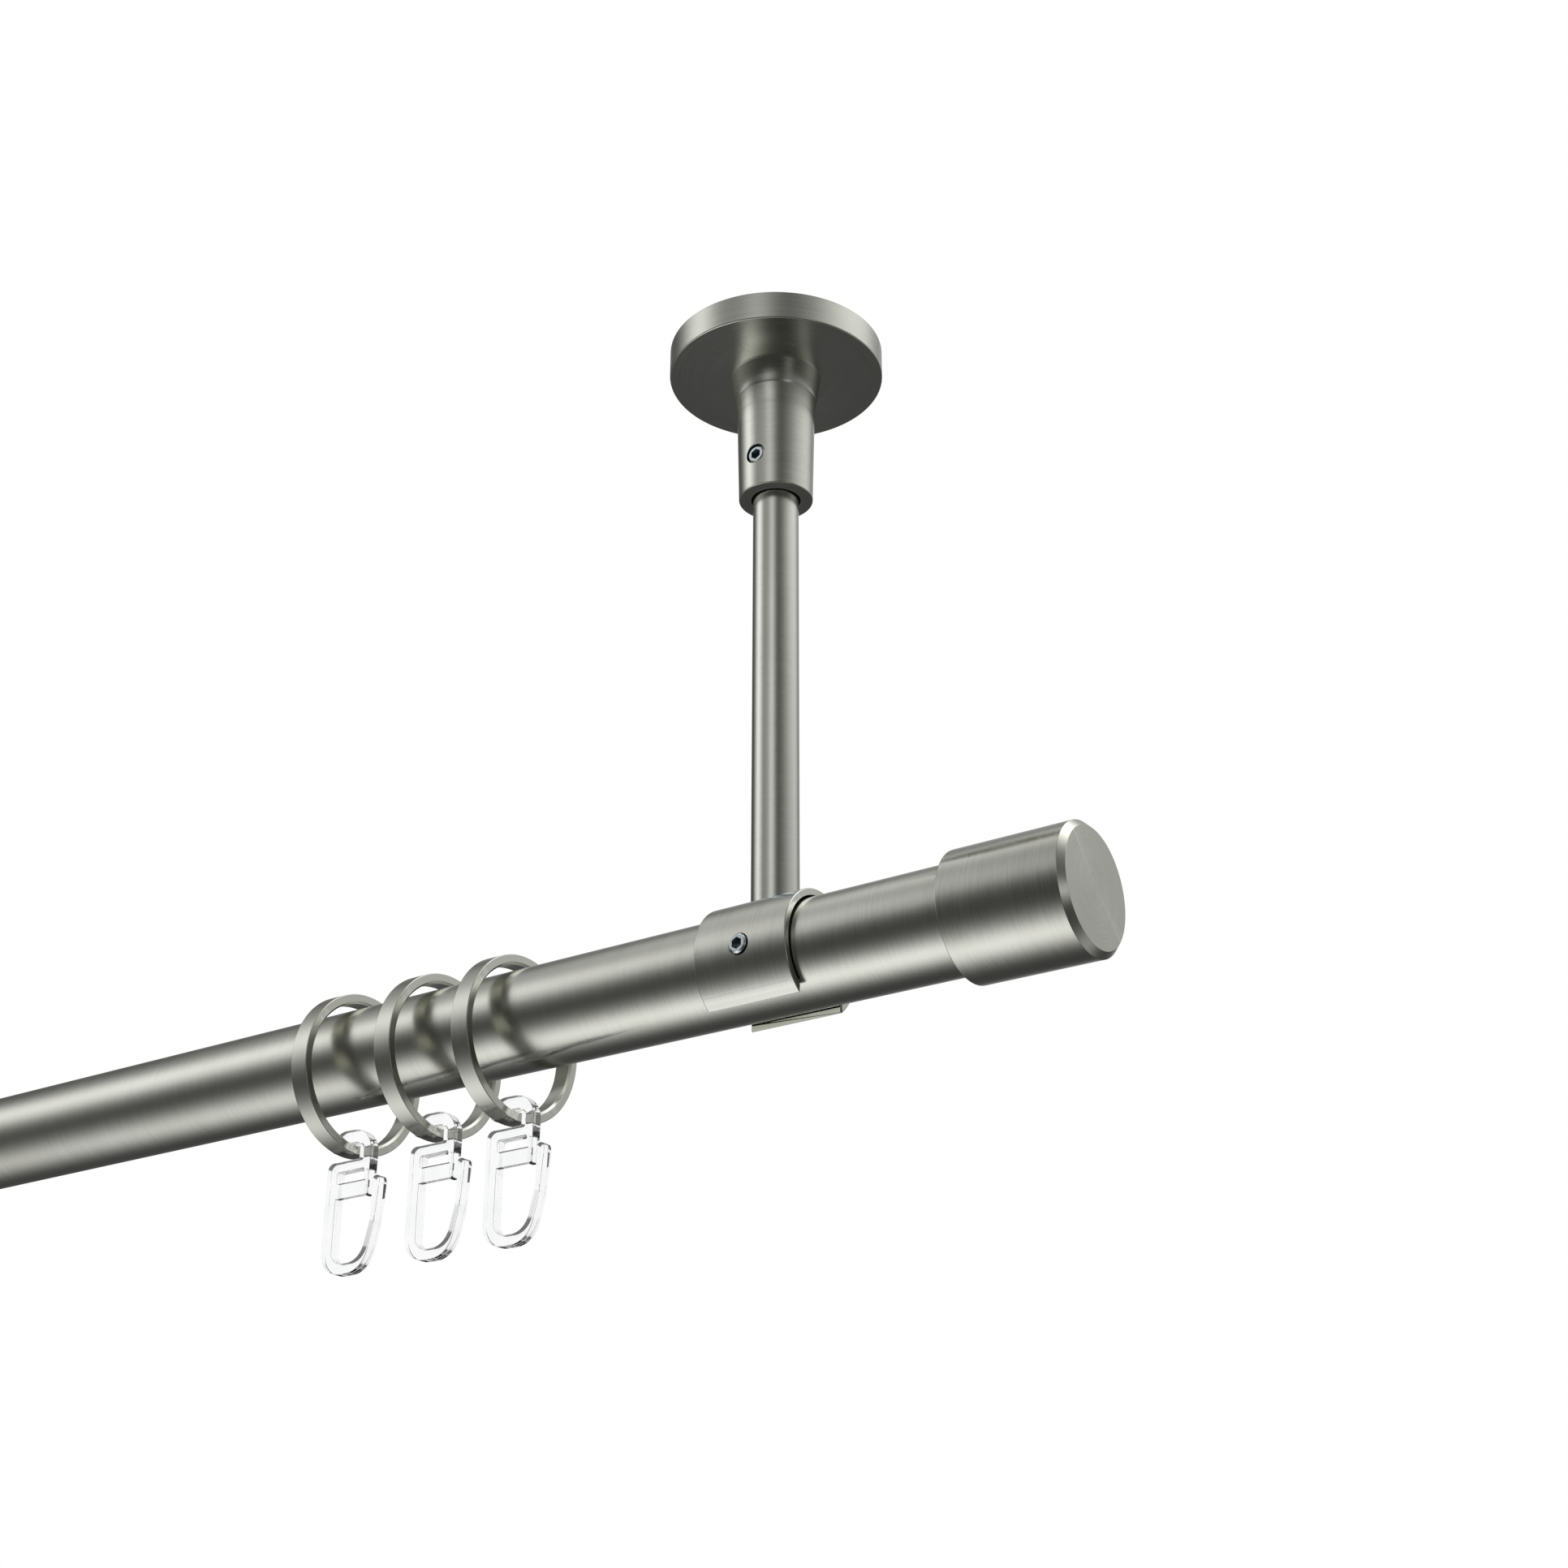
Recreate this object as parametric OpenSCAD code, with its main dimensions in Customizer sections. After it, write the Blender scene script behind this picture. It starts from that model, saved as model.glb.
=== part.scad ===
// Ceiling-mounted curtain rod: two brackets, a round tube with end caps, and rings with pleat hooks.
// Frame: origin on the ceiling plane midway between the brackets, +X along the tube, +Z up.

/* [Rod] */
// Length of the tube
tube_length = 1000; // [600:10:2400]
// Outer radius of the tube
tube_r = 10; // [8:0.5:14]
// Wall of the tube
tube_wall = 1; // [0.8:0.1:2]
// Distance from the ceiling down to the tube's axis
rod_drop = 131.5; // [90:0.5:400]
// Distance from a bracket's axis to the outer face of the end cap
overhang = 64.5; // [50:0.5:200]

/* [Ceiling disc] */
// Radius of the disc
disc_r = 21.5; // [18:0.5:35]
// Height of the disc
disc_h = 6; // [5:0.5:10]
// Wall of the hollow disc
disc_wall = 1.2; // [1:0.1:2]
// Distance between the two screw holes of a mounting plate
plate_hole_spacing = 22; // [18:1:26]
// Radius of a ceiling screw hole
plate_hole_r = 2.25; // [1.5:0.05:2.5]

/* [Collar] */
// Radius of the collar's flared top
collar_top_r = 9; // [8.5:0.1:10.5]
// Radius of the collar at the lower edge of the flare
collar_flare_r = 8.1; // [7.9:0.05:8.4]
// Radius of the collar's neck
collar_neck_r = 7.75; // [7.5:0.05:7.85]
// Radius of the collar's lower face
collar_low_r = 7.3; // [7:0.1:7.6]
// Height of the flare
flare_h = 5.6; // [4:0.1:8]
// Height of the hollow curve between the flare and the neck
cove_h = 4.2; // [1:0.1:6]
// Height of the whole collar
collar_h = 28.6; // [24:0.1:40]
// Radius of the drop rod
drop_r = 4.5; // [3.5:0.1:4.6]

/* [Clamp] */
// Outer radius of the clamp
clamp_r = 11.72; // [11.6:0.01:14]
// Length of the clamp along the tube
clamp_l = 19.7; // [16:0.1:30]
// Gap between the clamp and the tube
clamp_gap = 0.4; // [0.3:0.05:0.6]
// Width of the slot along the clamp's underside
clamp_slot = 13.2; // [8:0.1:16]

/* [End cap] */
// Radius of the end cap
cap_r = 12; // [11.8:0.1:16]
// Length of the end cap
cap_l = 24.2; // [18:0.1:40]
// Chamfer round the cap's outer face
cap_chamfer = 1.15; // [0.4:0.05:1.5]

/* [Rings] */
// Outer radius of a ring
ring_r = 16.55; // [16:0.05:22]
// Radial thickness of a ring
ring_t = 2; // [1.5:0.1:2.4]
// Width of a ring along the tube
ring_w = 4; // [3:0.1:4.2]
// Distance from the tube's axis down to a ring's centre
ring_sag = 3.45; // [2:0.05:3.6]

/* [Hooks] */
// Thickness of a moulded hook
hook_t = 2.2; // [1.6:0.1:3]
// Width of the hook's frame
hook_w = 11.3; // [10.9:0.1:11.6]
// Depth of the hook below its ring's centre
hook_low = 40.35; // [36:0.05:46]

/* [Hidden] */
$fn = 96;
screw_fn = 48;
SIDES = ["left", "right"];
BRACKET_PIECES = ["mounting_plate", "threaded_stud", "ceiling_disc", "collar", "collar_set_screw",
                  "drop_rod", "clamp", "clamp_set_screw", "drop_rod_screw"];
CAP_PIECES = ["end_cap", "cap_insert"];

// Rings, numbered from the right: three by each bracket and four spread between them
ring_from_bracket = [60.55, 80.05, 101.95];
middle_pitch = 120;
end_rings = len(ring_from_bracket);
middle_rings = 4;
ring_count = 2 * end_rings + middle_rings;
RING_NAMES = [for (i = [1 : ring_count]) str("ring_", i < 10 ? "0" : "", i)];
HOOK_NAMES = [for (i = [1 : ring_count]) str("hook_", i < 10 ? "0" : "", i)];

steel = [0.62, 0.62, 0.59];
zinc = [0.78, 0.80, 0.84];
clear_plastic = [0.92, 0.93, 0.94, 0.5];
black_plastic = [0.12, 0.12, 0.13];

eps = 0.01;                 // overlap that keeps cutters through a face
part_gap = 0.3;             // air between pieces that move apart
edge = 0.2;                 // broken edge on turned steel
cap_floor = 3.2;            // solid end of the cap
tube_end_gap = part_gap;    // air between the tube's end and the cap's floor
bracket_x = tube_length / 2 + tube_end_gap + cap_floor - overhang;
rod_z = -rod_drop;
ring_z = rod_z - ring_sag;
tube_bore_r = tube_r - tube_wall;

plate_gap = 1.1;            // air between the plate and the disc's wall
plate_r = disc_r - disc_wall - plate_gap;
plate_t = 2.5;
countersink_r = 3.9;
countersink_h = 1.5;
stud_r = 3;
stud_l = 10;
stud_clearance = 0.15;

collar_bore_r = drop_r + 0.35;
collar_bore_h = 20;
collar_z = -disc_h - collar_h;
collar_lip = 0.3;           // upright rim at the top of the flare
flare_steps = 10;
flare_power = 0.8;          // 1 is a plain cone, less swells out, more is hollow
cove_power = 1.6;
set_screw_rise = 7.3;       // height of the set screw above the collar's lower face
set_screw_z = collar_z + set_screw_rise;
set_screw_r = 1.85;
set_screw_hole_r = 2.1;
hex_across_flats = 2;
hex_depth = 1.3;
screw_chamfer = 0.3;
collar_screw_out = 7.15;    // reach of the collar's set screw from the drop rod's axis
clamp_screw_stand = 0.55;   // how far the clamp's set screw stands proud
clamp_screw_out = clamp_r + clamp_screw_stand;

clamp_bore_r = tube_r + clamp_gap;
drop_screw_r = 1.95;
drop_screw_hole_r = 2;
drop_screw_l = 9;
drop_screw_head_r = 3.1;
drop_screw_head_h = 1;
cope_gap = 0.02;

cap_bore_r = tube_r + part_gap;
cap_rim_x = overhang - cap_l;
insert_r = tube_bore_r - part_gap;
insert_rib_h = 1.4;
insert_core_r = insert_r - insert_rib_h;
insert_l = 17;
insert_ribs = 8;
insert_rib_w = 1.6;

ring_bore_r = ring_r - ring_t;
ring_bevel = 0.45;
ring_edge = 0.15;

// Hook sizes that the outline and the tongue across it share, from the ring's centre
frame_left = -5;
frame_right = frame_left + hook_w;
neck_right = 6.45;
tongue_low = -25.2;
arm_knee = -30;

// Position along the tube of the bracket on one side
function bracket_pos(side) = side == "left" ? -bracket_x : bracket_x;

// Position along the tube of ring i, counted from 0 at the right
function ring_pos(i) =
    i < end_rings ? bracket_x - ring_from_bracket[i]
    : i >= end_rings + middle_rings ? -bracket_x + ring_from_bracket[ring_count - 1 - i]
    : middle_pitch * ((middle_rings - 1) / 2 - (i - end_rings));

function unit(v) = v / norm(v);

// Points of the arc of radius r that rounds corner p between neighbours a and b
function corner(a, p, b, r, steps = 8) =
    r == 0 ? [p] :
    let (to_a = unit(a - p),
         to_b = unit(b - p),
         half = acos(to_a * to_b) / 2,
         c = p + unit(to_a + to_b) * r / sin(half),
         first = p + to_a * r / tan(half) - c,
         last = p + to_b * r / tan(half) - c,
         start = atan2(first.y, first.x),
         sweep = (atan2(last.y, last.x) - start + 540) % 360 - 180)
    [for (i = [0 : steps]) c + r * [cos(start + sweep * i / steps), sin(start + sweep * i / steps)]];

// Outline through [x, y, radius] corners
function rounded(path) =
    let (n = len(path), xy = [for (p = path) [p.x, p.y]])
    [for (i = [0 : n - 1]) each corner(xy[(i + n - 1) % n], xy[i], xy[(i + 1) % n], path[i][2])];

// Places children at a bracket, mirrored so that +X always points to the nearer tube end
module at_bracket(side) {
    translate([bracket_pos(side), 0, 0])
        mirror([side == "left" ? 1 : 0, 0, 0])
            children();
}

// Turns an extrusion made along Z to lie along X
module along_x() {
    rotate([0, 90, 0])
        children();
}

module mounting_plate() {
    color(steel)
    difference() {
        translate([0, 0, -plate_t])
            cylinder(r = plate_r, h = plate_t);
        for (y = [-1, 1] * plate_hole_spacing / 2)
            translate([0, y, -plate_t - eps]) {
                cylinder(r = plate_hole_r, h = plate_t + 2 * eps);
                cylinder(r1 = countersink_r, r2 = plate_hole_r, h = countersink_h);
            }
    }
}

module threaded_stud() {
    color(zinc)
    translate([0, 0, -plate_t - stud_l])
        cylinder(r = stud_r, h = stud_l);
}

// Hollow disc, open towards the ceiling
module ceiling_disc() {
    inner_r = disc_r - disc_wall;
    floor_z = -disc_h + disc_wall;
    color(steel)
    rotate_extrude()
        polygon([[stud_r + stud_clearance, -disc_h], [disc_r - edge, -disc_h], [disc_r, -disc_h + edge],
                 [disc_r, 0], [inner_r, 0], [inner_r, floor_z], [stud_r + stud_clearance, floor_z]]);
}

// Points of a hollow curve from radius r1 at height z1 down to radius r2 at height z2
function cove(r1, z1, r2, z2, power) =
    [for (i = [0 : flare_steps])
        let (f = i / flare_steps)
        [r2 + (r1 - r2) * pow(1 - f, power), z1 + (z2 - z1) * f]];

module collar() {
    flare_z = -disc_h - flare_h;
    neck_z = flare_z - cove_h;
    bore_top = collar_z + collar_bore_h;
    flare = cove(collar_top_r, -disc_h - collar_lip, collar_flare_r, flare_z, flare_power);
    neck = cove(collar_flare_r, flare_z, collar_neck_r, neck_z, cove_power);
    color(steel)
    difference() {
        rotate_extrude()
            polygon(concat(
                [[0, -disc_h], [collar_top_r, -disc_h]],
                flare,
                [for (i = [1 : flare_steps]) neck[i]],
                [[collar_low_r, collar_z + edge], [collar_low_r - edge, collar_z], [0, collar_z]]));
        translate([0, 0, collar_z - eps])
            cylinder(r = collar_bore_r, h = collar_bore_h + eps);
        translate([0, 0, bore_top - eps])
            cylinder(r = stud_r + stud_clearance, h = collar_h);
        translate([0, 0, set_screw_z])
            rotate([90, 0, 0])
                cylinder(r = set_screw_hole_r, h = collar_top_r);
    }
}

// Grub screw lying along -Y, from its tip to its socket end
module set_screw(from_y, to_y) {
    length = to_y - from_y;
    socket_r = hex_across_flats / 2 / cos(30);
    color(zinc)
    rotate([90, 0, 0])
        translate([0, 0, from_y])
            difference() {
                rotate_extrude($fn = screw_fn)
                    polygon([[0, 0], [set_screw_r - screw_chamfer, 0], [set_screw_r, screw_chamfer],
                             [set_screw_r, length - screw_chamfer], [set_screw_r - screw_chamfer, length],
                             [0, length]]);
                translate([0, 0, length - hex_depth])
                    rotate([0, 0, 30])
                        cylinder(r = socket_r, h = hex_depth + eps, $fn = 6);
            }
}

module collar_set_screw() {
    translate([0, 0, set_screw_z])
        set_screw(drop_r, collar_screw_out);
}

module clamp_set_screw() {
    translate([0, 0, rod_z])
        set_screw(tube_r + part_gap, clamp_screw_out);
}

// Drop rod with its lower end coped to sit on the clamp
module drop_rod() {
    top_z = collar_z + collar_bore_h - part_gap;
    color(steel)
    difference() {
        translate([0, 0, rod_z])
            cylinder(r = drop_r, h = top_z - rod_z);
        translate([0, 0, rod_z])
            along_x()
                cylinder(r = clamp_r + cope_gap, h = 4 * drop_r, center = true);
        translate([0, 0, rod_z])
            cylinder(r = drop_screw_hole_r, h = clamp_bore_r + drop_screw_l);
    }
}

// C-shaped clamp, open along its underside
module clamp() {
    color(steel)
    difference() {
        translate([0, 0, rod_z])
            along_x()
                rotate_extrude()
                    polygon([[clamp_bore_r, -clamp_l / 2], [clamp_r - edge, -clamp_l / 2],
                             [clamp_r, -clamp_l / 2 + edge], [clamp_r, clamp_l / 2 - edge],
                             [clamp_r - edge, clamp_l / 2], [clamp_bore_r, clamp_l / 2]]);
        translate([-clamp_l, -clamp_slot / 2, rod_z - 2 * clamp_r])
            cube([2 * clamp_l, clamp_slot, 2 * clamp_r]);
        translate([0, 0, rod_z])
            rotate([90, 0, 0])
                cylinder(r = set_screw_hole_r, h = 2 * clamp_r);
        translate([0, 0, rod_z]) {
            cylinder(r = drop_screw_hole_r, h = 2 * clamp_r);
            cylinder(r = drop_screw_head_r, h = clamp_bore_r + drop_screw_head_h);
        }
    }
}

// Flat-headed screw from inside the clamp up into the drop rod
module drop_rod_screw() {
    head_z = rod_z + clamp_bore_r;
    color(zinc)
    difference() {
        translate([0, 0, head_z]) {
            cylinder(r = drop_screw_head_r - drop_screw_hole_r + drop_screw_r, h = drop_screw_head_h);
            cylinder(r = drop_screw_r, h = drop_screw_l - edge);
        }
        translate([0, 0, rod_z])
            along_x()
                cylinder(r = clamp_bore_r, h = 4 * drop_r, center = true);
        translate([0, 0, head_z - eps])
            cylinder(r = hex_across_flats / 2 / cos(30), h = hex_depth, $fn = 6);
    }
}

module rod_tube() {
    color(steel)
    translate([0, 0, rod_z])
        along_x()
            rotate_extrude()
                polygon([[tube_bore_r, -tube_length / 2], [tube_r - edge, -tube_length / 2],
                         [tube_r, -tube_length / 2 + edge], [tube_r, tube_length / 2 - edge],
                         [tube_r - edge, tube_length / 2], [tube_bore_r, tube_length / 2]]);
}

// Turned cup with a chamfered outer face
module end_cap() {
    color(steel)
    translate([0, 0, rod_z])
        along_x()
            rotate_extrude()
                polygon([[0, overhang - cap_floor], [cap_bore_r, overhang - cap_floor],
                         [cap_bore_r, cap_rim_x], [cap_r - edge, cap_rim_x], [cap_r, cap_rim_x + edge],
                         [cap_r, overhang - cap_chamfer], [cap_r - cap_chamfer, overhang], [0, overhang]]);
}

// Ribbed plug that holds the cap in the tube's end
module cap_insert() {
    back_x = overhang - cap_floor - insert_l;
    color(black_plastic)
    translate([back_x, 0, rod_z])
        along_x()
            difference() {
                union() {
                    cylinder(r = insert_core_r, h = insert_l);
                    for (i = [0 : insert_ribs - 1])
                        rotate([0, 0, i * 360 / insert_ribs])
                            translate([0, -insert_rib_w / 2, edge])
                                cube([insert_r - edge, insert_rib_w, insert_l - 2 * edge]);
                }
                translate([0, 0, -eps])
                    cylinder(r = drop_r, h = insert_l - cap_floor);
            }
}

// Flat-section ring with a bevel at both ends of its bore
module ring(x) {
    half = ring_w / 2;
    color(steel)
    translate([x, 0, ring_z])
        along_x()
            rotate_extrude()
                polygon([[ring_bore_r, -half + ring_bevel], [ring_bore_r + ring_bevel, -half],
                         [ring_r - ring_edge, -half], [ring_r, -half + ring_edge],
                         [ring_r, half - ring_edge], [ring_r - ring_edge, half],
                         [ring_bore_r + ring_bevel, half], [ring_bore_r, half - ring_bevel]]);
}

// Outline of a hook round its ring's centre: x along the tube, y up
module hook_outline() {
    bar_w = 2.7;
    bar_top = -17.7;
    bar_low = -19.8;
    arm_w = 1.85;
    eye_top = -11.5;
    eye_left = -4.25;
    eye_low = -15.7;
    eye_w = 1.8;
    eye_play = 0.35;
    eye_bore_top = eye_play - ring_bore_r;
    neck_w = 3.05;
    stub_w = 1.55;
    tip_right = 9.25;
    tip_top = -21.4;
    tip_slope = 0.3;
    tip_fall = 0.6;
    tip_h = 1.6;
    bow_floor = 2.1;
    bow_low = bow_floor - hook_low;
    knee_out = 2.2;
    knee_in = 1.2;
    knee_drop = 1.5;
    bore_right = frame_right - 1;
    neck_slope = 0.25;
    // corner radii, from the small ones to the wide sweeps
    crisp_r = 0.3;
    soft_r = 0.5;
    eye_corner_r = 0.7;
    eye_bore_r = 1;
    tip_r = 0.9;
    tip_out_r = 1.2;
    shoulder_r = 1.6;
    bow_bore_r = 2.6;
    eye_left_r = 3.4;
    bow_sweep_r = 4;
    bow_left_r = 5;
    bow_right_r = 5.4;
    knee_in_r = 6;
    knee_out_r = 8;
    polygon(rounded([
        // frame, from its top left corner round to the arm's outer side
        [frame_left, bar_top, shoulder_r], [frame_left, -hook_low, bow_left_r],
        [frame_right, -hook_low, bow_right_r],
        [frame_right + knee_out, arm_knee - knee_drop, knee_out_r],
        [tip_right, tip_top - tip_h, tip_out_r],
        // free tip of the arm, then down its inner side and up inside the frame
        [tip_right - tip_slope, tip_top, tip_r], [tip_right - arm_w, tip_top - tip_fall, eye_corner_r],
        [frame_right + knee_in, arm_knee, knee_in_r], [bore_right, bow_low, bow_sweep_r],
        [frame_left + bar_w, bow_low, bow_bore_r],
        // top bar and the stub that the arm's tip closes against
        [frame_left + bar_w, bar_low, soft_r], [neck_right - stub_w, bar_low, crisp_r],
        [neck_right - stub_w, tongue_low, 0], [neck_right - neck_slope, tongue_low, crisp_r],
        // eye that hangs over the ring, open on its left
        [neck_right, eye_top, bow_left_r], [eye_left, eye_top, eye_left_r],
        [eye_left, eye_low, eye_corner_r],
        [eye_left + eye_w, eye_low, eye_corner_r], [eye_left + eye_w, eye_bore_top, eye_corner_r],
        [neck_right - neck_w, eye_bore_top, eye_bore_r], [neck_right - neck_w, bar_top, soft_r]
    ]));
}

// Clear moulded pleat hook hanging in the bore of the ring at x
module hook(x) {
    tongue_left = frame_left + 2.5;
    tongue_right = neck_right - 1.5;
    tongue_h = 3.1;
    tongue_t = 1.2;
    color(clear_plastic)
    translate([x, 0, ring_z])
        rotate([90, 0, 0]) {
            linear_extrude(hook_t, center = true)
                hook_outline();
            translate([tongue_left, tongue_low, hook_t / 2 - tongue_t])
                cube([tongue_right - tongue_left, tongue_h, tongue_t]);
        }
}

for (side = SIDES)
    at_bracket(side) {
        mounting_plate();
        threaded_stud();
        ceiling_disc();
        collar();
        collar_set_screw();
        drop_rod();
        clamp();
        clamp_set_screw();
        drop_rod_screw();
        end_cap();
        cap_insert();
    }
rod_tube();
for (i = [0 : ring_count - 1]) {
    ring(ring_pos(i));
    hook(ring_pos(i));
}
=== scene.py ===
import math

import bmesh
import bpy
import numpy as np
from mathutils import Matrix, Vector


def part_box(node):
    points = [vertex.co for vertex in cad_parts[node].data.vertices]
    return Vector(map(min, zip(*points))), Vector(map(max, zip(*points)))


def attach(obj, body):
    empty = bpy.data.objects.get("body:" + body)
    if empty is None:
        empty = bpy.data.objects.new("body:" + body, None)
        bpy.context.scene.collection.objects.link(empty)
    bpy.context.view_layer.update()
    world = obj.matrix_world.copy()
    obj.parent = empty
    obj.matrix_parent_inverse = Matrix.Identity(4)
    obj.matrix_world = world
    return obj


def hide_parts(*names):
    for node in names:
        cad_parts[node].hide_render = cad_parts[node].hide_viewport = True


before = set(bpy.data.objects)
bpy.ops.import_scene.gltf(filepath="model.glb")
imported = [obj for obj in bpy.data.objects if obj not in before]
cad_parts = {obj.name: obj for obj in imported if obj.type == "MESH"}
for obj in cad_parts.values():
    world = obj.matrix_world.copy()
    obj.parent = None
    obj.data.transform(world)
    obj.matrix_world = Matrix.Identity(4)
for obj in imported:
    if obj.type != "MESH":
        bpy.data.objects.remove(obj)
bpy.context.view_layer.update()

MM = 0.001
X_AXIS, Y_AXIS, Z_AXIS = Vector((1, 0, 0)), Vector((0, 1, 0)), Vector((0, 0, 1))
SIDES = ("left", "right")
RING_COUNT = 10
SMOOTH = -1  # a profile corner that is shaded smooth instead of rounded

# ---------------------------------------------------------------- sizes, mm
SEGMENTS = 240
SCREW_SEGMENTS = 96
DRILL_SEGMENTS = 64
DRILL_MARGIN = 1
COLLAR_DRILL_INSET = 0.5
CLAMP_DRILL_INSET = 2
FILLET_STEPS = 4
DISC_WALL = 1.2
STUD_HOLE_R = 3.15
COLLAR_FLARE_R = 8.1
COLLAR_NECK_R = 7.75
COLLAR_LOW_R = 7.3
COLLAR_LIP = 0.3
COLLAR_FLARE_H = 5.6
COLLAR_COVE_H = 4.2
FLARE_POWER = 0.8
COVE_POWER = 1.6
COVE_STEPS = 20
COLLAR_BORE_R = 4.85
COLLAR_BORE_H = 20
SET_SCREW_HOLE_R = 2.1
DROP_SCREW_HOLE_R = 2
CLAMP_BORE_R = 10.4
CLAMP_SLOT = 13.2
CLAMP_CUT_BEVEL = 0.28
TUBE_WALL = 1
CAP_BORE_R = 10.3
CAP_FLOOR = 3.2
CAP_CHAMFER = 1.15
RING_BORE_R = 14.55
RING_BEVEL = 0.45
SCREW_CHAMFER = 0.3
HEX_ACROSS_FLATS = 2
HEX_DEPTH = 1.3
HEX_SIDES = 6
SOCKET_SHADE_RIM = 0.02
HOOK_EDGE = 0.12
HOOK_WELD = 0.002
HOOK_EDGE_STEPS = 2
HOOK_EDGE_PROFILE = 0.6
HOOK_NORMAL_WEIGHT = 80

# Radii that round the edges of the turned pieces, mm
DISC_EDGE = 0.3
DISC_TOP_EDGE = 0.1
DISC_INNER_EDGE = 0.2
COLLAR_EDGE = 0.22
COLLAR_BORE_EDGE = 0.15
CLAMP_EDGE = 0.22
TUBE_EDGE = 0.2
CAP_RIM_EDGE = 0.2
CAP_FACE_EDGE = 0.12
RING_EDGE = 0.16
RING_BEVEL_EDGE = 0.12
SCREW_TIP_EDGE = 0.06
SCREW_FACE_EDGE = 0.08
BORE_EDGE = 0.1

# Angles in degrees that part faces, and the limits of the shading
FLAT_WITHIN = 1
HOOK_SHARP = 35
DROP_ROD_SHARP = 40
NORMAL_AGREES = 0.8  # how well a face fits a profile strip before it takes the strip's shading
STRIP_NEAR = 0.06 * MM
ON_AXIS = 1e-7
TINY = 1e-9


# ---------------------------------------------------------------- turned meshes
def unit(v):
    return v / np.linalg.norm(v)


def right_normal(a, b):
    """The direction square to the way from a to b, on its right."""
    d = unit(b - a)
    return np.array([d[1], -d[0]])


def fillet(before, corner, after, radius):
    """Points of the arc that rounds a corner, and its centre."""
    to_before, to_after = unit(before - corner), unit(after - corner)
    half = math.acos(np.clip(to_before @ to_after, -1, 1)) / 2
    centre = corner + unit(to_before + to_after) * radius / math.sin(half)
    first = corner + to_before * radius / math.tan(half) - centre
    last = corner + to_after * radius / math.tan(half) - centre
    start = math.atan2(first[1], first[0])
    sweep = (math.atan2(last[1], last[0]) - start + 3 * math.pi) % (2 * math.pi) - math.pi
    angles = [start + sweep * i / FILLET_STEPS for i in range(FILLET_STEPS + 1)]
    return [centre + radius * np.array([math.cos(t), math.sin(t)]) for t in angles], centre


def strips_of(corners):
    """Strips (start, start normal, end, end normal) round a section of (axial, radius, fillet) corners."""
    points = [np.array(c[:2], float) for c in corners]
    turned_area = sum(a[0] * b[1] - b[0] * a[1] for a, b in zip(points, points[1:] + points[:1]))
    if turned_area < 0:
        corners, points = corners[::-1], points[::-1]
    count = len(points)
    open_ends = points[0][1] == 0 and points[-1][1] == 0
    normals = [right_normal(points[i], points[(i + 1) % count]) for i in range(count)]
    arcs = []
    for i, (_, _, radius) in enumerate(corners):
        at_end = open_ends and i in (0, count - 1)
        if radius > 0 and not at_end:
            arcs.append(fillet(points[i - 1], points[i], points[(i + 1) % count], radius))
        else:
            arcs.append(([points[i]], None))
    strips = []
    for i in range(count):
        arc, centre = arcs[i]
        sign = 1 if centre is None or (arc[0] - centre) @ normals[i - 1] > 0 else -1
        for a, b in zip(arc, arc[1:]):
            strips.append((a, sign * unit(a - centre), b, sign * unit(b - centre)))
        if open_ends and i == count - 1:
            break
        j = (i + 1) % count
        start = unit(normals[i - 1] + normals[i]) if corners[i][2] == SMOOTH else normals[i]
        end = unit(normals[i] + normals[j]) if corners[j][2] == SMOOTH else normals[i]
        strips.append((arc[-1], start, arcs[j][0][0], end))
    return strips


def basis_of(axis):
    """The two directions square to an axis that angles run between; the first is up where it can be."""
    up = X_AXIS if abs(axis.z) > 0.5 else Z_AXIS
    return up, axis.cross(up)


def place(centre, axis, along, radius, angle):
    """The point at this distance along an axis, and at this radius and angle round it."""
    e1, e2 = basis_of(axis)
    return centre + axis * along + (e1 * math.cos(angle) + e2 * math.sin(angle)) * radius


def add_mesh(name, vertices, faces):
    mesh = bpy.data.meshes.new(name)
    mesh.from_pydata([tuple(v) for v in vertices], [], faces)
    mesh.validate()
    obj = bpy.data.objects.new(name, mesh)
    bpy.context.scene.collection.objects.link(obj)
    return obj


def turned(name, corners, centre, axis, segments=SEGMENTS):
    """A solid of revolution; corners are (axial, radius, fillet) in mm from centre."""
    strips = strips_of(corners)
    closed = np.allclose(strips[0][0], strips[-1][2])
    rows = [s[0] for s in strips] + ([] if closed else [strips[-1][2]])
    vertices, index = [], []
    for along, radius in rows:
        first = len(vertices)
        count = segments if radius > 0 else 1
        index.append([first + i % count for i in range(segments)])
        angles = [math.tau * i / segments for i in range(count)]
        vertices += [place(centre, axis, along * MM, radius * MM, angle) for angle in angles]
    faces = []
    for j in range(len(strips)):
        low, high = index[j], index[(j + 1) % len(rows)]
        for i in range(segments):
            k = (i + 1) % segments
            faces.append(list(dict.fromkeys((low[i], high[i], high[k], low[k]))))
    obj = add_mesh(name, vertices, faces)
    shade_turned(obj, strips, centre, axis)
    return obj, strips


def read_all(collection, name, width, kind=float):
    """One attribute of every vertex, face or corner of a mesh, as an array."""
    values = np.zeros(len(collection) * width, np.int32 if kind is int else np.float32)
    collection.foreach_get(name, values)
    return values.reshape(-1, width) if width > 1 else values


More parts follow.
